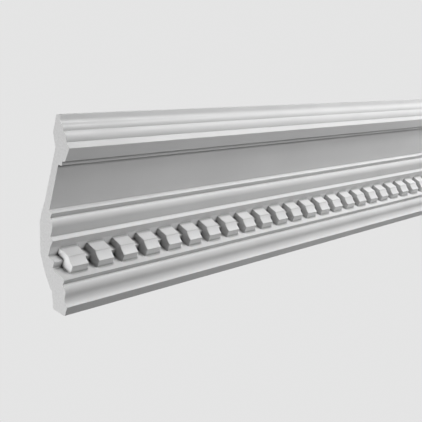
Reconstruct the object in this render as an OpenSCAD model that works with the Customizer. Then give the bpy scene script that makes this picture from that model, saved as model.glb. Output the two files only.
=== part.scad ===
// A length of dentil cornice moulding for the angle of a wall and a ceiling, cast in one piece.
// X runs along the moulding, +Y points into the wall and +Z up to the ceiling. The origin is at
// the middle of the wall seat, halfway along. The section is set out in pairs: how far a point
// stands out from the wall, and how far it is down from the ceiling.

/* [Overall] */
// Length of the piece, cut square at both ends
length = 1000; // [200:1:2400]
// How far the moulding reaches out from the wall
projection = 196.2; // [160:0.2:260]
// How far the moulding hangs down from the ceiling
drop = 65.5; // [56:0.5:90]

/* [Crown] */
// Height of the lip at the outer edge
lip_h = 4.8; // [3:0.1:6.5]
// How far the lip leans out
lip_lean = 2; // [0:0.1:3]
// Width of the narrow band under the lip
lip_band_w = 3.8; // [2:0.1:6]
// How far that band falls
lip_band_fall = 1.2; // [0:0.1:2]
// Width of the wave, hollow above and round below
wave_w = 10.2; // [7:0.1:16]
// Height of the wave
wave_h = 7.7; // [5:0.1:10]
// Width of the flat at the end of the wave
quirk_w = 0.9; // [0.4:0.1:2]
// Height of the small fillet below the wave
quirk_h = 1.7; // [1:0.1:3]
// Width of the quarter round below the small fillet
round_w = 8.5; // [6:0.1:12]
// Height of that quarter round
round_h = 4.4; // [3:0.1:6]
// Height of the outer fascia
fascia_h = 5.8; // [4:0.1:9]
// How far the foot of the fascia leans back
fascia_lean = 4.3; // [1:0.1:6]
// Width of the soffit behind the fascia
drip_w = 14.5; // [10:0.1:20]
// Height of the first of the two steps up to the wide soffit
step_h = 3.3; // [2:0.1:5]
// Width of the tread between the two steps
step_w = 4.1; // [2:0.1:7]

/* [Wide soffit and back] */
// Depth of the wide soffit below the ceiling
soffit_drop = 15.4; // [13:0.1:17]
// Thickness of the shell above the wide soffit
web_t = 8.2; // [6:0.1:11]
// Width of the seat against the ceiling
ceiling_seat_w = 18.5; // [12:0.1:24]
// Width of the slope from the back of the wide soffit up to that seat
crown_slope_w = 13.5; // [6:0.1:18]
// Height of the seat against the wall
wall_seat_h = 17.2; // [12:0.1:22]
// Thickness of the shell above the inner corner of the dentil band
bed_web_t = 11.9; // [8:0.1:14]
// How far the heel of the foot stands out from the wall, at the back
heel_w = 17.6; // [12:0.1:22]
// How far the heel rises above the wall seat
heel_rise = 6.5; // [4:0.1:9]

/* [Bed mouldings] */
// Height of the upper fillet, at the wall side of the wide soffit
upper_fillet_h = 4.4; // [3:0.1:6]
// Width of the band under the upper fillet
upper_band_w = 5.4; // [3:0.1:8]
// Width of the quarter round below that band
bed_round_w = 9.8; // [7:0.1:13]
// Height of that quarter round
bed_round_h = 5.4; // [4:0.1:8]
// Width of the flat between the quarter round and the lower fillet
bed_flat_w = 9; // [6:0.1:12]
// Height of the lower fillet
lower_fillet_h = 4; // [3:0.1:6]
// Width of the sloping band behind the lower fillet
slope_band_w = 7.7; // [4:0.1:10]
// Width of the flat band that the dentils hang from
dentil_band_w = 9.7; // [7:0.1:14]
// Height of the step behind the dentils
back_step_h = 9.7; // [6:0.1:12]
// Width of the ledge under that step
ledge_w = 7.4; // [5:0.1:10]
// Width of the groove between the frieze and the foot
groove_w = 5.2; // [3:0.1:8]
// Width of the wave at the foot, round above and hollow below
foot_wave_w = 20.5; // [14:0.1:26]
// Height of the wave at the foot
foot_wave_h = 11.9; // [8:0.1:14]
// Width of the underside of the foot
foot_w = 9.9; // [6:0.1:14]

/* [Dentils] */
// Distance from one dentil to the next
dentil_pitch = 40; // [32:0.5:60]
// Width of one dentil, along the moulding
dentil_w = 25; // [16:0.5:30]
// How far a dentil stands out in front of the step behind it
dentil_reach = 7.1; // [4:0.1:12]
// Height of the hollow under the flat face of a dentil
dentil_hollow_h = 8.1; // [5:0.1:9]
// Width of that hollow
dentil_hollow_w = 7.1; // [4:0.1:9]
// Depth of the nick between the flat face and the hollow
dentil_nick = 1.2; // [0.5:0.1:2]
// Height of plain frieze below the dentils
frieze_clear = 6.3; // [4:0.1:12]

/* [Draft] */
// Lean of the tall faces, for each millimetre of their height
face_draft = 0.26; // [0.1:0.01:0.35]
// Rise of the narrow bands towards the wall, for each millimetre of their width
band_rise = 0.16; // [0:0.01:0.2]

/* [Hidden] */

// Chords on each curved member, and how deep its curve is for each millimetre of chord
CURVE_STEPS = 8;
WAVE_BOW = 0.12;
ROUND_BOW = 0.15;
HOLLOW_BOW = 0.05;
BACK_BOW = 0.025;
// Small leans of the two steps, the small fillet and the two bed fillets
STEP_LEAN = [1.4, 1.1];
QUIRK_LEAN = 1.2;
FILLET_LEAN = [2, 3.2];
// Small falls of the flat at the end of the wave and of the nick in a dentil
QUIRK_FALL = 0.2;
NICK_FALL = 0.4;
// Small rises, towards the wall, of the sloping band, a dentil's underside and the foot's underside
SLOPE_BAND_RISE = 1.8;
UNDERSIDE_RISE = 0.7;
FOOT_RISE = 0.9;
// Splay of the heel, and how far the back's inner corner lies wallward of the dentil band's end
HEEL_SPLAY = [1.8, -3.4];
CORNER_BACK = 0.7;
// The back rises in a low hump over the upper bed mouldings: its height, how far its ends lie
// out from the round's foot and back from the soffit's end, and where it has run out again
HUMP_H = 1.5;
HUMP_START = 1;
HUMP_END = 3;
HUMP_RUN_OUT = 9;
// How far the end of each dentil is sunk into the body so that the two are one solid
ROOT = 3;

// Crown, from the outer edge towards the wall
lip_top = [projection - lip_lean, 0];
lip_foot = [projection, lip_h];
wave_top = lip_foot + [-lip_band_w, lip_band_fall];
wave_foot = wave_top + [-wave_w, wave_h];
quirk_top = wave_foot + [-quirk_w, QUIRK_FALL];
quirk_foot = quirk_top + [-QUIRK_LEAN, quirk_h];
round_foot = quirk_foot + [-round_w, round_h];
fascia_foot = round_foot + [-fascia_lean, fascia_h];
drip_end = fascia_foot + [-drip_w, -drip_w * band_rise];
tread_start = drip_end + [-STEP_LEAN[0], -step_h];
tread_end = tread_start + [-step_w, 0];
soffit_start = [tread_end[0] - STEP_LEAN[1], soffit_drop];

// Foot, from the wall outwards
foot_back = [0, drop - FOOT_RISE];
foot_front = [foot_w, drop];
groove_end = foot_front + [foot_wave_w, -foot_wave_h];
frieze_foot = groove_end + [groove_w, groove_w * band_rise];

// Bed mouldings: first how far down each one is, from the wide soffit downwards
upper_fillet_foot_d = soffit_drop + upper_fillet_h;
bed_round_top_d = upper_fillet_foot_d - upper_band_w * band_rise;
bed_flat_d = bed_round_top_d + bed_round_h;
lower_fillet_foot_d = bed_flat_d + lower_fillet_h;
band_end_d = lower_fillet_foot_d - SLOPE_BAND_RISE;
ledge_front_d = band_end_d + back_step_h;
ledge_end_d = ledge_front_d - ledge_w * band_rise;

// Then each one set out from its neighbour at the wall side, from the frieze outwards
ledge_end = [frieze_foot[0] + (frieze_foot[1] - ledge_end_d) * face_draft, ledge_end_d];
ledge_front = [ledge_end[0] + ledge_w, ledge_front_d];
band_end = [ledge_front[0] + back_step_h * face_draft, band_end_d];
slope_band_end = [band_end[0] + dentil_band_w, band_end_d];
lower_fillet_foot = [slope_band_end[0] + slope_band_w, lower_fillet_foot_d];
lower_fillet_top = lower_fillet_foot + [FILLET_LEAN[1], -lower_fillet_h];
bed_round_foot = lower_fillet_top + [bed_flat_w, 0];
bed_round_top = bed_round_foot + [bed_round_w, -bed_round_h];
upper_fillet_foot = bed_round_top + [upper_band_w, upper_band_w * band_rise];
soffit_end = upper_fillet_foot + [FILLET_LEAN[0], -upper_fillet_h];

// Back of the shell, from the wall seat up to the ceiling seat
recess_d = soffit_drop - web_t;
wall_seat_top = [0, foot_back[1] - wall_seat_h];
heel = [heel_w, wall_seat_top[1] - heel_rise];
heel_top = heel + HEEL_SPLAY;
bed_back = band_end + [-CORNER_BACK, -bed_web_t];
hump_start = [bed_round_foot[0] + HUMP_START, recess_d - HUMP_H];
hump_end = [soffit_end[0] - HUMP_END, recess_d - HUMP_H];
recess_start = [soffit_end[0] + HUMP_RUN_OUT, recess_d];
ceiling_seat_in = [lip_top[0] - ceiling_seat_w, 0];
recess_end = [ceiling_seat_in[0] - crown_slope_w, recess_d];

// Middle of the wall seat, down from the ceiling: the origin's height
seat_mid = foot_back[1] - wall_seat_h / 2;

// Arc from a to b, without a itself, that bulges down and out by depth times the chord
function arc(a, b, depth) =
    let (chord = b - a,
         across = [-chord[1], chord[0]] / norm(chord),
         h = depth * norm(chord),
         r = (pow(norm(chord) / 2, 2) + h * h) / (2 * h),
         half = asin(norm(chord) / 2 / r))
    [for (i = [1:CURVE_STEPS])
        let (t = -half + 2 * half * i / CURVE_STEPS)
        a + chord * (0.5 + r * sin(t) / norm(chord)) + across * (h - r + r * cos(t))];

// Two equal arcs from a to b that bend opposite ways
function wave(a, b, depth) =
    let (mid = (a + b) / 2)
    concat(arc(a, mid, depth), arc(mid, b, -depth));

function crown_outline() = concat(
    [lip_top, lip_foot, wave_top],
    wave(wave_top, wave_foot, WAVE_BOW),
    [quirk_top, quirk_foot],
    arc(quirk_foot, round_foot, -WAVE_BOW),
    [fascia_foot, drip_end, tread_start, tread_end, soffit_start]);

function bed_outline() = concat(
    [soffit_end, upper_fillet_foot, bed_round_top],
    arc(bed_round_top, bed_round_foot, -ROUND_BOW),
    [lower_fillet_top, lower_fillet_foot, slope_band_end, band_end],
    [ledge_front, ledge_end, frieze_foot, groove_end],
    wave(groove_end, foot_front, -ROUND_BOW),
    [foot_back]);

function back_outline() = concat(
    [wall_seat_top, heel, heel_top],
    arc(heel_top, bed_back, -BACK_BOW),
    [hump_start, hump_end, recess_start, recess_end, ceiling_seat_in]);

// Section of a dentil, with its root sunk into the body
function dentil_outline() =
    let (underside_d = frieze_foot[1] - frieze_clear,
         frieze_out = frieze_foot[0] + frieze_clear * face_draft,
         face_top_out = band_end[0] + dentil_reach,
         face_foot_d = underside_d - dentil_hollow_h,
         face_foot = [face_top_out - (face_foot_d - band_end_d) * face_draft, face_foot_d],
         hollow_top = face_foot + [-dentil_nick, NICK_FALL],
         hollow_foot = [hollow_top[0] - dentil_hollow_w, underside_d])
    concat(
        [[face_top_out, band_end_d - ROOT], [face_top_out, band_end_d], face_foot, hollow_top],
        arc(hollow_top, hollow_foot, HOLLOW_BOW),
        [[frieze_out, underside_d - UNDERSIDE_RISE],
         [frieze_out - ROOT, underside_d - UNDERSIDE_RISE]],
        [[band_end[0] - ROOT, band_end_d - ROOT]]);

// Lays a section, given in pairs, along X from x, over the length l
module run(outline, x, l) {
    translate([x, 0, 0])
        rotate([90, 0, 90])
            linear_extrude(height = l)
                polygon([for (q = outline) [-q[0], seat_mid - q[1]]]);
}

module cornice_length() {
    gap = dentil_pitch - dentil_w;
    count = floor(length / dentil_pitch);
    color("whitesmoke") union() {
        run(concat(crown_outline(), bed_outline(), back_outline()), -length / 2, length);
        for (i = [0:count - 1])
            run(dentil_outline(), -length / 2 + gap + i * dentil_pitch, dentil_w);
    }
}

cornice_length();
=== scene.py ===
import math

import bpy
import numpy as np
from mathutils import Matrix, Vector


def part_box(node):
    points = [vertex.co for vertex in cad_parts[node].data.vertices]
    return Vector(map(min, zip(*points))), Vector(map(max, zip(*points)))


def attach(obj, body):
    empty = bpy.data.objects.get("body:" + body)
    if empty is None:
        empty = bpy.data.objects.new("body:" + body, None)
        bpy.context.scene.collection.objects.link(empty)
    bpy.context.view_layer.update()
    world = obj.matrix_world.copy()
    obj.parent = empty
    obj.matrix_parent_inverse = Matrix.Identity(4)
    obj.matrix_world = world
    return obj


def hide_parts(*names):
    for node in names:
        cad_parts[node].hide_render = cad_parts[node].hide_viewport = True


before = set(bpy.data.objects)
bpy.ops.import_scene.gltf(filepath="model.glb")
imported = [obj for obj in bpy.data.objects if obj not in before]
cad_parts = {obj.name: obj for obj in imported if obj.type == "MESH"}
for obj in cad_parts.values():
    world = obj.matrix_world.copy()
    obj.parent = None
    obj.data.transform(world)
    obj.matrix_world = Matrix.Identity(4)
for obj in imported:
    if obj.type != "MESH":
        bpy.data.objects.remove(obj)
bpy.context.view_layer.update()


# ---------------------------------------------------------------------------------- view
# The moulding hangs in the angle of a wall and a ceiling. It is seen from below and in front
# of its near end, along the run, with the head tilted so that the run lies across the view.

MM = 0.001
NEAR_END_TO_EYE = 668.2 * MM
WALL_TO_EYE = 423.2 * MM
CEILING_TO_EYE = 635.9 * MM
SIGHT_LINE = Vector((0.80126, 0.30177, 0.51665))
HEAD_UP = Vector((0.11209, -0.92392, 0.36580))
LENS = 80.19
SENSOR = 36.0

near_low, far_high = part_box("cornice_length")
eye = Vector((near_low.x - NEAR_END_TO_EYE, far_high.y - WALL_TO_EYE, far_high.z - CEILING_TO_EYE))
back_of_eye = -SIGHT_LINE.normalized()
right_of_eye = HEAD_UP.cross(back_of_eye).normalized()
over_eye = back_of_eye.cross(right_of_eye)

camera_data = bpy.data.cameras.new("view_along_the_run")
camera_data.lens = LENS
camera_data.sensor_width = SENSOR
camera = bpy.data.objects.new("view_along_the_run", camera_data)
turn = Matrix((right_of_eye, over_eye, back_of_eye)).transposed().to_4x4()
camera.matrix_world = Matrix.Translation(eye) @ turn
bpy.context.scene.collection.objects.link(camera)
bpy.context.scene.camera = camera


# ------------------------------------------------------------------------------ moulding
# One length of cornice, cast in dense white polyurethane foam in a closed mould. The crown lies
# against the ceiling, the bed mouldings and their dentils against the wall, and a thin wide
# soffit joins them. Both ends are sawn square.

# Sizes are in millimetres. Points of the section are pairs: out from the wall, down from the
# ceiling.
length = (far_high.x - near_low.x) / MM
projection = (far_high.y - near_low.y) / MM
drop = (far_high.z - near_low.z) / MM

lip_h, lip_lean = 4.8, 2.0
lip_band_w, lip_band_fall = 3.8, 1.2
wave_w, wave_h = 10.2, 7.7
quirk_w, quirk_fall, quirk_h, quirk_lean = 0.9, 0.2, 1.7, 1.2
round_w, round_h = 8.5, 4.4
fascia_h, fascia_lean = 5.8, 4.3
drip_w = 14.5
step_h, step_w, step_lean = 3.3, 4.1, (1.4, 1.1)
soffit_drop, web_t = 15.4, 8.2

upper_fillet_h, upper_band_w = 4.4, 5.4
bed_round_w, bed_round_h = 9.8, 5.4
bed_flat_w, lower_fillet_h = 9.0, 4.0
fillet_lean = (2.0, 3.2)
slope_band_w, slope_band_rise, dentil_band_w = 7.7, 1.8, 9.7
back_step_h, ledge_w = 9.7, 7.4
groove_w = 5.2
foot_wave_w, foot_wave_h, foot_w, foot_rise = 20.5, 11.9, 9.9, 0.9
face_draft, band_rise = 0.26, 0.16

wall_seat_h, heel_w, heel_rise, heel_splay = 17.2, 17.6, 6.5, (1.8, -3.4)
bed_web_t, corner_back = 11.9, 0.7
hump_h, hump_start, hump_end, hump_run_out = 1.5, 1.0, 3.0, 9.0
ceiling_seat_w, crown_slope_w = 18.5, 13.5

dentil_pitch, dentil_w, dentil_reach = 40.0, 25.0, 7.1
dentil_hollow_h, dentil_hollow_w = 8.1, 7.1
dentil_nick, nick_fall, underside_rise = 1.2, 0.4, 0.7
frieze_clear = 6.3

# How much the curved members bow, as a share of their chord, and how far corners are softened.
WAVE_BOW, ROUND_BOW, HOLLOW_BOW, BACK_BOW = 0.12, 0.15, 0.05, 0.025
ARRIS, SEAM, SOFT_CORNER, DENTIL_ARRIS = 0.5, 0.4, 1.6, 0.8

# A dentil's flanks start outside its width by the spread and lean in by the draft.
FLANK_DRAFT, FLANK_SPREAD = 1.6, 1.3

# The widest strip of mesh along a flat member, and how untrue the faces are.
LONGEST_STRIP = 9.0
SHOW_WAVER, BACK_WAVER = 0.05, 0.2


def arc(a, b, depth, steps=8):
    """Arc from a to b without a: a circle whose rise over the chord is depth times the chord."""
    a, b = np.array(a), np.array(b)
    chord = b - a
    width = np.hypot(*chord)
    across = np.array((-chord[1], chord[0])) / width
    rise = depth * width
    radius = (width ** 2 / 4 + rise ** 2) / (2 * rise)
    half = math.asin(width / 2 / radius)
    t = np.linspace(-half, half, steps + 1)[1:, None]
    return a + chord * (0.5 + radius * np.sin(t) / width) + across * (rise - radius + radius * np.cos(t))


def wave(a, b, depth):
    """Two equal arcs from a to b that bend opposite ways."""
    middle = (np.array(a) + np.array(b)) / 2
    return np.vstack((arc(a, middle, depth), arc(middle, b, -depth)))


def corners(radius, *points):
    """Rows of out, down and the radius that the corner is softened with."""
    return np.array([(*p, radius) for p in points])


def curve(points):
    """Rows of a curved member, whose last point is a seam with the next one."""
    radii = np.zeros(len(points))
    radii[-1] = SEAM
    return np.column_stack((points, radii))


def softened(rows, steps=3):
    """Each corner becomes an arc of its radius, tangent to both sides.

    The centre lies on the corner's bisector and the arc's points turn evenly about it. Nearly
    straight corners stay sharp, and no arc takes more than 0.45 of a side. Also gives the row that
    each point comes from.
    """
    least_turn, side_share = math.radians(6), 0.45
    p, radius = rows[:, :2], rows[:, 2]
    back, ahead = np.roll(p, 1, 0) - p, np.roll(p, -1, 0) - p
    back_l, ahead_l = np.hypot(*back.T), np.hypot(*ahead.T)
    back, ahead = back / back_l[:, None], ahead / ahead_l[:, None]
    angle = np.arccos(np.clip(-(back * ahead).sum(1), -1, 1))
    is_round = (radius > 0) & (angle > least_turn)
    angle = np.where(is_round, angle, 1)
    tangent = np.minimum(radius * np.tan(angle / 2), side_share * np.minimum(back_l, ahead_l))
    tangent = np.where(is_round, tangent, 0)
    bisector = back + ahead
    bisector /= np.maximum(np.hypot(*bisector.T), 1e-9)[:, None]
    centre = p + bisector * (tangent / np.sin(angle / 2))[:, None]
    start = (p + back * tangent[:, None] - centre)[:, None]
    end = (p + ahead * tangent[:, None] - centre)[:, None]
    s = np.linspace(0, 1, steps + 1)[None, :, None]
    by = angle[:, None, None]
    points = centre[:, None] + (np.sin((1 - s) * by) * start + np.sin(s * by) * end) / np.sin(by)
    keep = is_round[:, None] | (np.arange(steps + 1) == 0)[None]
    row_of = np.broadcast_to(np.arange(len(rows))[:, None], keep.shape)
    return points[keep], row_of[keep]


# Crown, from the outer edge towards the wall.
lip_top = (projection - lip_lean, 0)
lip_foot = (projection, lip_h)
wave_top = (projection - lip_band_w, lip_h + lip_band_fall)
wave_foot = (wave_top[0] - wave_w, wave_top[1] + wave_h)
quirk_top = (wave_foot[0] - quirk_w, wave_foot[1] + quirk_fall)
quirk_foot = (quirk_top[0] - quirk_lean, quirk_top[1] + quirk_h)
round_foot = (quirk_foot[0] - round_w, quirk_foot[1] + round_h)
fascia_foot = (round_foot[0] - fascia_lean, round_foot[1] + fascia_h)
drip_end = (fascia_foot[0] - drip_w, fascia_foot[1] - drip_w * band_rise)
tread_start = (drip_end[0] - step_lean[0], drip_end[1] - step_h)
tread_end = (tread_start[0] - step_w, tread_start[1])
soffit_start = (tread_end[0] - step_lean[1], soffit_drop)

# Foot, from the wall outwards, then the depth of each bed moulding below the ceiling.
foot_back = (0, drop - foot_rise)
foot_front = (foot_w, drop)
groove_end = (foot_w + foot_wave_w, drop - foot_wave_h)
frieze_foot = (groove_end[0] + groove_w, groove_end[1] + groove_w * band_rise)
upper_fillet_foot_d = soffit_drop + upper_fillet_h
bed_round_top_d = upper_fillet_foot_d - upper_band_w * band_rise
bed_flat_d = bed_round_top_d + bed_round_h
lower_fillet_foot_d = bed_flat_d + lower_fillet_h
band_end_d = lower_fillet_foot_d - slope_band_rise
ledge_front_d = band_end_d + back_step_h
ledge_end_d = ledge_front_d - ledge_w * band_rise

# Bed mouldings, each set out from its neighbour at the wall side.
ledge_end = (frieze_foot[0] + (frieze_foot[1] - ledge_end_d) * face_draft, ledge_end_d)
ledge_front = (ledge_end[0] + ledge_w, ledge_front_d)
band_end = (ledge_front[0] + back_step_h * face_draft, band_end_d)
slope_band_end = (band_end[0] + dentil_band_w, band_end_d)
lower_fillet_foot = (slope_band_end[0] + slope_band_w, lower_fillet_foot_d)
lower_fillet_top = (lower_fillet_foot[0] + fillet_lean[1], bed_flat_d)
bed_round_foot = (lower_fillet_top[0] + bed_flat_w, bed_flat_d)
bed_round_top = (bed_round_foot[0] + bed_round_w, bed_round_top_d)
upper_fillet_foot = (bed_round_top[0] + upper_band_w, upper_fillet_foot_d)
soffit_end = (upper_fillet_foot[0] + fillet_lean[0], soffit_drop)

# Back of the shell, from the wall seat up to the ceiling seat.
recess_d = soffit_drop - web_t
wall_seat_top = (0, foot_back[1] - wall_seat_h)
heel = (heel_w, wall_seat_top[1] - heel_rise)
heel_top = (heel[0] + heel_splay[0], heel[1] + heel_splay[1])
bed_back = (band_end[0] - corner_back, band_end_d - bed_web_t)
hump_near = (bed_round_foot[0] + hump_start, recess_d - hump_h)
hump_far = (soffit_end[0] - hump_end, recess_d - hump_h)
recess_start = (soffit_end[0] + hump_run_out, recess_d)
ceiling_seat_in = (lip_top[0] - ceiling_seat_w, 0)
recess_end = (ceiling_seat_in[0] - crown_slope_w, recess_d)

# A dentil's flat face, nick, hollow and underside.
underside_d = frieze_foot[1] - frieze_clear
frieze_out = frieze_foot[0] + frieze_clear * face_draft
dentil_top = (band_end[0] + dentil_reach, band_end_d)
dentil_face_foot_d = underside_d - dentil_hollow_h
dentil_face_foot = (dentil_top[0] - (dentil_face_foot_d - band_end_d) * face_draft, dentil_face_foot_d)
dentil_face_middle = tuple((np.array(dentil_top) + dentil_face_foot) / 2)
hollow_top = (dentil_face_foot[0] - dentil_nick, dentil_face_foot_d + nick_fall)
hollow_foot = (hollow_top[0] - dentil_hollow_w, underside_d)
dentil_back = (frieze_out + underside_rise * face_draft, underside_d - underside_rise)

above_dentils = np.vstack((
    corners(ARRIS, lip_top, lip_foot),
    corners(SEAM, wave_top),
    curve(wave(wave_top, wave_foot, WAVE_BOW)),
    corners(SEAM, quirk_top, quirk_foot),
    curve(arc(quirk_foot, round_foot, -WAVE_BOW)),
    corners(ARRIS, fascia_foot, drip_end),
    corners(SEAM, tread_start, tread_end, soffit_start),
    corners(SOFT_CORNER, soffit_end),
    corners(ARRIS, upper_fillet_foot, bed_round_top),
    curve(arc(bed_round_top, bed_round_foot, -ROUND_BOW)),
    corners(ARRIS, lower_fillet_top, lower_fillet_foot, slope_band_end),
))
below_dentils = np.vstack((
    corners(ARRIS, frieze_foot, groove_end),
    curve(wave(groove_end, foot_front, -ROUND_BOW)),
    corners(ARRIS, foot_back, wall_seat_top, heel),
    corners(SOFT_CORNER, heel_top),
    curve(arc(heel_top, bed_back, -BACK_BOW)),
    corners(SOFT_CORNER, hump_near, hump_far, recess_start, recess_end),
    corners(ARRIS, ceiling_seat_in),
))
step_behind = np.vstack((
    corners(0, dentil_top),
    corners(ARRIS, band_end, ledge_front),
    corners(SOFT_CORNER, ledge_end),
    corners(0, dentil_back),
))
dentil_front = np.vstack((
    corners(SEAM, dentil_top),
    corners(0, dentil_face_middle),
    corners(SEAM, dentil_face_foot),
    corners(SEAM, hollow_top),
    curve(arc(hollow_top, hollow_foot, HOLLOW_BOW)),
    corners(SEAM, dentil_back),
))


def matched(first, second, first_keys, second_keys):
    """Both stretches at the same places.

    A place is a number that grows evenly with the distance from one key row to the next, and the
    places used are those of all the points of both stretches.
    """
    def places(stretch, keys):
        points, row_of = stretch
        along = np.concatenate(([0], np.cumsum(np.hypot(*np.diff(points, axis=0).T))))
        at_keys = [0] + [along[row_of == k].mean() for k in keys] + [along[-1]]
        return np.interp(along, at_keys, np.arange(len(at_keys)))

    first_at, second_at = places(first, first_keys), places(second, second_keys)
    everywhere = np.unique(np.round(np.concatenate((first_at, second_at)), 2))
    return [
        np.column_stack([np.interp(everywhere, at, points[:, k]) for k in (0, 1)])
        for at, (points, _) in ((first_at, first), (second_at, second))
    ]


def section_pair():
    """The section between dentils and the section through one, point for point the same number.

    They differ only from the dentils' band to the foot of the frieze. Long straight strips are
    parted evenly.
    """
    head = len(above_dentils)
    pair = []
    for middle in (step_behind, dentil_front):
        points, row_of = softened(np.vstack((above_dentils, middle, below_dentils)))
        first = np.flatnonzero(row_of < head)[-1]
        last = np.flatnonzero(row_of >= head + len(middle))[0]
        pair.append((points, row_of - head, first, last))
    (bare, bare_row, first, bare_last), (full, full_row, _, full_last) = pair
    hollow_foot_row = len(dentil_front) - 2
    bare_mid, full_mid = matched(
        (bare[first:bare_last + 1], bare_row[first:bare_last + 1]),
        (full[first:full_last + 1], full_row[first:full_last + 1]),
        (0, 1, 2, 3, 4), (0, 1, 2, hollow_foot_row, hollow_foot_row + 1))
    bare, full = (
        np.vstack((bare[:first], mid, bare[bare_last + 1:])) for mid in (bare_mid, full_mid))

    strip = np.hypot(*(np.roll(bare, -1, 0) - bare).T)
    parts = np.ceil(strip / LONGEST_STRIP).astype(int)
    at = np.concatenate([i + np.arange(n) / n for i, n in enumerate(parts)])
    closed = np.arange(len(bare) + 1)
    bare, full = (
        np.column_stack([np.interp(at, closed, np.append(p[:, k], p[0, k])) for k in (0, 1)])
        for p in (bare, full))
    return bare, full


def stations():
    """Where the cross-sections lie along the run, with the state of the dentil at each.

    A dentil's flank starts in a small quarter-round seam whose height is foot, leans in by its
    draft, and ends in a rounded arris that is still short of the full section by edge. Between
    dentils the edge is out of reach. The far cut takes the last dentil's far flank away.
    """
    out_of_reach, least_strip = 1e3, 0.1
    quarter = np.radians((0, 45, 90))
    foot = SEAM * (1 - np.cos(quarter))
    foot_x = SEAM * (np.sin(quarter) - 1)
    quarter = np.radians((0, 30, 60, 90))
    edge = DENTIL_ARRIS * (1 - np.sin(quarter))
    edge_x = FLANK_DRAFT + DENTIL_ARRIS * (1 - np.cos(quarter))
    none, whole = np.full(len(foot), out_of_reach), np.full(len(edge), SEAM)
    flank_x = np.concatenate((foot_x, edge_x)) - FLANK_SPREAD
    flank_foot, flank_edge = np.concatenate((foot, whole)), np.concatenate((none, edge))

    gap = dentil_pitch - dentil_w
    count = int(length / dentil_pitch + 1e-6)
    face_x = dentil_w * np.array((0.33, 0.67))
    one_x = np.concatenate(([-gap / 2], flank_x, face_x, dentil_w - flank_x[::-1]))
    one_foot = np.concatenate(([0], flank_foot, (SEAM, SEAM), flank_foot[::-1]))
    one_edge = np.concatenate(([out_of_reach], flank_edge, (0, 0), flank_edge[::-1]))
    x = (gap + dentil_pitch * np.arange(count)[:, None] + one_x).ravel()
    foot, edge = np.tile(one_foot, count), np.tile(one_edge, count)
    inside = x < length - FLANK_DRAFT - DENTIL_ARRIS - least_strip
    return (
        np.concatenate(([0], x[inside], [length])),
        np.concatenate(([0], foot[inside], [SEAM])),
        np.concatenate(([out_of_reach], edge[inside], [0])))


def waver(along, around, seed, amount):
    """Sum of slow ripples with random headings and lengths, seldom more than amount high."""
    ripples, shortest, longest = 12, 40, 260
    random = np.random.default_rng(seed)
    wavelength = random.uniform(shortest, longest, ripples)
    heading = random.uniform(0, math.tau, ripples)
    phase = random.uniform(0, math.tau, ripples)
    ripple = np.sin(math.tau / wavelength * (
        along[..., None] * np.cos(heading) + 2 * around[..., None] * np.sin(heading)) + phase)
    return amount * ripple.sum(-1) / (ripples / 2)


bare, full = section_pair()
x, foot, edge = stations()
reach = np.hypot(*(full - bare).T)
heading = (full - bare) / np.maximum(reach, 1e-9)[:, None]
grown = np.minimum(reach, np.maximum(foot[:, None], reach - edge[:, None]))
section = bare + heading * grown[..., None]

# The mould and the cure leave the faces a little untrue, the hidden back more so. The two seats
# are true.
point = np.arange(len(bare))
on_ceiling = bare[:, 1] < 1e-6
on_wall = np.flatnonzero(bare[:, 0] < 1e-6)
is_show = (point < on_wall[0]) & ~on_ceiling
is_back = (point > on_wall[-1]) & ~on_ceiling
ahead = np.roll(section, -1, 1) - np.roll(section, 1, 1)
outwards = np.stack((ahead[..., 1], -ahead[..., 0]), -1)
outwards /= np.hypot(outwards[..., 0], outwards[..., 1])[..., None]
around = np.cumsum(np.hypot(*(bare - np.roll(bare, 1, 0)).T))
move = (waver(x[:, None], around, seed=3, amount=SHOW_WAVER) * is_show
        + waver(x[:, None], around, seed=8, amount=BACK_WAVER) * is_back)
section = section + outwards * move[..., None]

n_x, n_s = section.shape[:2]
verts = np.empty((n_x, n_s, 3))
verts[..., 0] = near_low.x + x[:, None] * MM
verts[..., 1] = far_high.y - section[..., 0] * MM
verts[..., 2] = far_high.z - section[..., 1] * MM
index = np.arange(n_x * n_s).reshape(n_x, n_s)
following = np.roll(index, -1, 1)
quads = np.stack((index[:-1], following[:-1], following[1:], index[1:]), -1).reshape(-1, 4)

# Each vertex takes the mean normal of the faces round it, weighted by their area, so that flats
# stay flat up to their softened arrises. The sawn ends keep their own.
p = verts.reshape(-1, 3)[quads]
area = np.cross(p[:, 2] - p[:, 0], p[:, 3] - p[:, 1])
normal = np.zeros((n_x * n_s, 3))
for k in range(4):
    np.add.at(normal, quads[:, k], area)
normal /= np.linalg.norm(normal, axis=1)[:, None]
near_cap, far_cap = index[0, ::-1], index[-1]
corner_normal = np.concatenate((
    normal[quads.ravel()], np.tile((-1.0, 0, 0), (n_s, 1)), np.tile((1.0, 0, 0), (n_s, 1))))

corner_list = np.concatenate((quads.ravel(), near_cap, far_cap))
face_start = np.concatenate((4 * np.arange(len(quads)), 4 * len(quads) + np.array((0, n_s))))
SHOW, BACK, SAWN = 0, 1, 2
strip_kind = np.where(point < on_wall[0], SHOW, BACK)
face_kind = np.concatenate((np.tile(strip_kind, n_x - 1), (SAWN, SAWN)))

mesh = bpy.data.meshes.new("dentil_cornice")
mesh.vertices.add(n_x * n_s)
mesh.vertices.foreach_set("co", verts.ravel())
mesh.loops.add(len(corner_list))
mesh.loops.foreach_set("vertex_index", corner_list)
mesh.polygons.add(len(face_start))
mesh.polygons.foreach_set("loop_start", face_start)
mesh.polygons.foreach_set("material_index", face_kind)
mesh.polygons.foreach_set("use_smooth", np.ones(len(face_start), bool))
mesh.update(calc_edges=True)
mesh.normals_split_custom_set(corner_normal)
moulding = bpy.data.objects.new("dentil_cornice", mesh)
bpy.context.scene.collection.objects.link(moulding)


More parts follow.
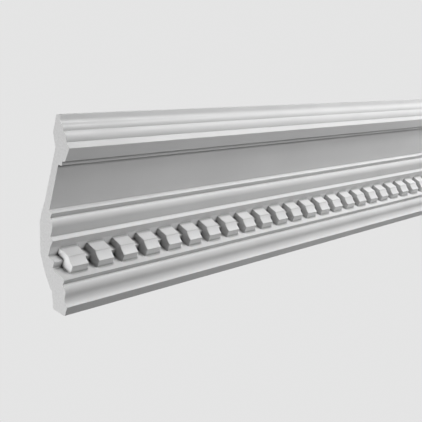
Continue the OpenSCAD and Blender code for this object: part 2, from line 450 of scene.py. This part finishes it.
def add(tree, kind, inputs=None, **settings):
    """A node of that kind with its settings, its values given and its links made."""
    node = tree.nodes.new("ShaderNode" + kind)
    for key, value in settings.items():
        setattr(node, key, value)
    for key, value in (inputs or {}).items():
        if isinstance(value, bpy.types.NodeSocket):
            tree.links.new(value, node.inputs[key])
        else:
            node.inputs[key].default_value = value
    return node


def carried(tree, value, span, to):
    """The value, carried straight from its span to the other one and kept inside it."""
    return add(tree, "MapRange", {
        "Value": value, "From Min": span[0], "From Max": span[1],
        "To Min": to[0], "To Max": to[1]}).outputs[0]


def times(tree, a, b):
    """The product of two values."""
    return add(tree, "Math", {0: a, 1: b}, operation="MULTIPLY").outputs[0]


def noise(tree, place, size_mm, detail=2.0):
    """Noise whose blotches are about size_mm across. Most of it lies in NOISE_SPAN."""
    scale = 1 / (size_mm * MM)
    return add(tree, "TexNoise", {"Vector": place, "Scale": scale, "Detail": detail}).outputs["Fac"]


def cells(tree, place, size_mm):
    """Distance from the middles of random cells about size_mm across, 0 at each middle."""
    scale = 1 / (size_mm * MM)
    return add(tree, "TexVoronoi", {"Vector": place, "Scale": scale}).outputs["Distance"]


def new_finish(name):
    """A material with its tree, its shader and its Object coordinates."""
    material = bpy.data.materials.new(name)
    material.use_nodes = True
    tree = material.node_tree
    return material, tree, tree.nodes["Principled BSDF"], add(tree, "TexCoord").outputs["Object"]


def set_grey(tree, shader, level):
    """Gives the shader a neutral colour of that level."""
    colour = add(tree, "CombineColor", {"Red": level, "Green": level, "Blue": level}).outputs[0]
    tree.links.new(colour, shader.inputs["Base Color"])


def set_bumps(tree, shader, *heights):
    """Bumps on top of each other, each a height from 0 to 1 and its depth in millimetres."""
    below = None
    for height, depth_mm in heights:
        inputs = {"Height": height, "Distance": depth_mm * MM}
        if below:
            inputs["Normal"] = below
        below = add(tree, "Bump", inputs).outputs[0]
    tree.links.new(below, shader.inputs["Normal"])


# Two coats of white primer, sprayed on the show faces. They cloud very faintly and have a fine
# orange peel. Painted shade darkens the colour in the seams between members and, more mildly,
# between the dentils.
NOISE_SPAN = (0.3, 0.7)
PRIMER_TONE, PRIMER_ROUGH, PRIMER_CLOUD_MM = (0.805, 0.835), (0.42, 0.56), 70
SEAM_SHADE_REACH_MM, SEAM_SHADE_OPEN, SEAM_SHADE_TONE = 4.5, (0.42, 0.93), (0.12, 1.0)
GAP_SHADE_REACH_MM, GAP_SHADE_OPEN, GAP_SHADE_TONE = 16.0, (0.4, 0.8), (0.6, 1.0)
PEEL_MM, PEEL_DEPTH_MM = (9, 0.9), (0.05, 0.02)


def openness(tree, reach_mm):
    """The share of directions that stay open within the reach, from 0 to 1."""
    reach = {"Distance": reach_mm * MM}
    return add(tree, "AmbientOcclusion", reach, samples=12).outputs["AO"]


primer, tree, shader, place = new_finish("white_primer")
cloud = noise(tree, place, PRIMER_CLOUD_MM, detail=3)
tone = carried(tree, cloud, NOISE_SPAN, PRIMER_TONE)
# Painted shade: the colour darkens strongly where little is open within a few millimetres, in the seams
# between members.
painted_seam_shade = carried(tree, openness(tree, SEAM_SHADE_REACH_MM), SEAM_SHADE_OPEN, SEAM_SHADE_TONE)
# Painted shade: a milder darkening where little is open within 16 mm, mostly between the dentils.
painted_gap_shade = carried(tree, openness(tree, GAP_SHADE_REACH_MM), GAP_SHADE_OPEN, GAP_SHADE_TONE)
set_grey(tree, shader, times(tree, tone, times(tree, painted_seam_shade, painted_gap_shade)))
tree.links.new(carried(tree, cloud, NOISE_SPAN, PRIMER_ROUGH), shader.inputs["Roughness"])
peel = [noise(tree, place, size_mm) for size_mm in PEEL_MM]
set_bumps(tree, shader, *zip(peel, PEEL_DEPTH_MM))

# The hidden back keeps the bare skin of the casting: greyer, blotched by release wax, and
# pitted where the foam left small blisters against the mould.
SKIN_TONE, SKIN_ROUGH, BLOTCH_MM = (0.66, 0.77), (0.6, 0.8), 35
BLISTER_MM, BLISTER_EDGE, PIT_TONE, PIT_DEPTH_MM = 7, (0.04, 0.16), (0.75, 1.0), 0.5
GRAIN_MM, GRAIN_DEPTH_MM = 3, 0.25

skin, tree, shader, place = new_finish("cast_foam_skin")
blotch = noise(tree, place, BLOTCH_MM, detail=4)
pits = carried(tree, cells(tree, place, BLISTER_MM), BLISTER_EDGE, (0, 1))
tone = carried(tree, blotch, NOISE_SPAN, SKIN_TONE)
set_grey(tree, shader, times(tree, tone, carried(tree, pits, (0, 1), PIT_TONE)))
tree.links.new(carried(tree, blotch, NOISE_SPAN, SKIN_ROUGH), shader.inputs["Roughness"])
grain = noise(tree, place, GRAIN_MM)
set_bumps(tree, shader, (grain, GRAIN_DEPTH_MM), (pits, PIT_DEPTH_MM))

# The saw bares the foam's fine closed cells, and its teeth leave faint close lines.
SAWN_TONE, SAWN_ROUGH, SPECKLE_MM = (0.63, 0.71), 0.85, 2.0
CELL_MM, CELL_EDGE, CELL_TONE, CELL_DEPTH_MM = 0.7, (0, 0.35), (0.86, 1.0), 0.15
TEETH_MM, TEETH_DEPTH_MM = 9, 0.06

sawn, tree, shader, place = new_finish("sawn_foam")
foam_cells = cells(tree, place, CELL_MM)
speckle = noise(tree, place, SPECKLE_MM, detail=3)
teeth = add(tree, "TexWave", {
    "Vector": place, "Scale": 1 / (TEETH_MM * MM), "Distortion": 1.5, "Detail": 1.0},
    bands_direction="Z").outputs["Fac"]
tone = carried(tree, speckle, NOISE_SPAN, SAWN_TONE)
set_grey(tree, shader, times(tree, tone, carried(tree, foam_cells, CELL_EDGE, CELL_TONE)))
shader.inputs["Roughness"].default_value = SAWN_ROUGH
set_bumps(tree, shader, (teeth, TEETH_DEPTH_MM), (foam_cells, CELL_DEPTH_MM))

for finish in (primer, skin, sawn):
    mesh.materials.append(finish)
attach(moulding, "root")
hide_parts("cornice_length")


# --------------------------------------------------------------------------------- stage
# A pale studio: paper on the floor and all round, seen pale but hardly lighting the moulding.
# A key lamp and a lower one in front give the show side its shape. Small ones light the two
# ends, a weak one the soffits from below, and one behind keeps the hidden side readable.

FLOOR_BELOW, FLOOR_SIDE = 2.6, 60.0
SEEN_PALE, LIT_BY_PAPER = 0.78, 0.004
PAPER_TONE, PAPER_ROUGH, PAPER_CLOUD_MM = (0.04, 0.05), 0.9, 400

floor_mesh = bpy.data.meshes.new("studio_floor")
h = FLOOR_SIDE / 2
floor_z = near_low.z - FLOOR_BELOW
floor_mesh.from_pydata(
    [(-h, -h, floor_z), (h, -h, floor_z), (h, h, floor_z), (-h, h, floor_z)], [], [(0, 1, 2, 3)])
floor = bpy.data.objects.new("studio_floor", floor_mesh)
bpy.context.scene.collection.objects.link(floor)
paper, tree, shader, place = new_finish("studio_paper")
set_grey(tree, shader, carried(tree, noise(tree, place, PAPER_CLOUD_MM), (0, 1), PAPER_TONE))
shader.inputs["Roughness"].default_value = PAPER_ROUGH
glow = add(tree, "Emission", {"Strength": SEEN_PALE})
seen = add(tree, "LightPath").outputs["Is Camera Ray"]
mixed = add(tree, "MixShader", {0: seen, 1: shader.outputs[0], 2: glow.outputs[0]})
tree.links.new(mixed.outputs[0], tree.nodes["Material Output"].inputs["Surface"])
floor_mesh.materials.append(paper)

world = bpy.data.worlds.new("studio")
bpy.context.scene.world = world
world.use_nodes = True
tree = world.node_tree
seen = add(tree, "LightPath").outputs["Is Camera Ray"]
strength = carried(tree, seen, (0, 1), (LIT_BY_PAPER, SEEN_PALE))
tree.links.new(strength, tree.nodes["Background"].inputs["Strength"])
tree.nodes["Background"].inputs["Color"].default_value = (1, 1, 1, 1)


def lamp(name, place, radius, power):
    """A round soft lamp at that place, which the camera does not see."""
    data = bpy.data.lights.new(name, "POINT")
    data.shadow_soft_size = radius
    data.energy = power
    item = bpy.data.objects.new(name, data)
    item.location = place
    item.visible_camera = False
    bpy.context.scene.collection.objects.link(item)


lamp("key", (0.9, -1.45, -0.36), radius=0.28, power=62)
lamp("low_front", (0.5, -1.12, -1.02), radius=0.28, power=32)
lamp("near_end", (-1.5, 0.02, 0.04), radius=0.1, power=34)
lamp("far_end", (1.5, 0.02, 0.04), radius=0.1, power=18)
lamp("below", (-0.25, -0.45, -0.6), radius=0.12, power=3)
lamp("behind", (-0.5, 2.2, 1.4), radius=0.5, power=230)

bpy.context.scene.view_settings.view_transform = "Standard"
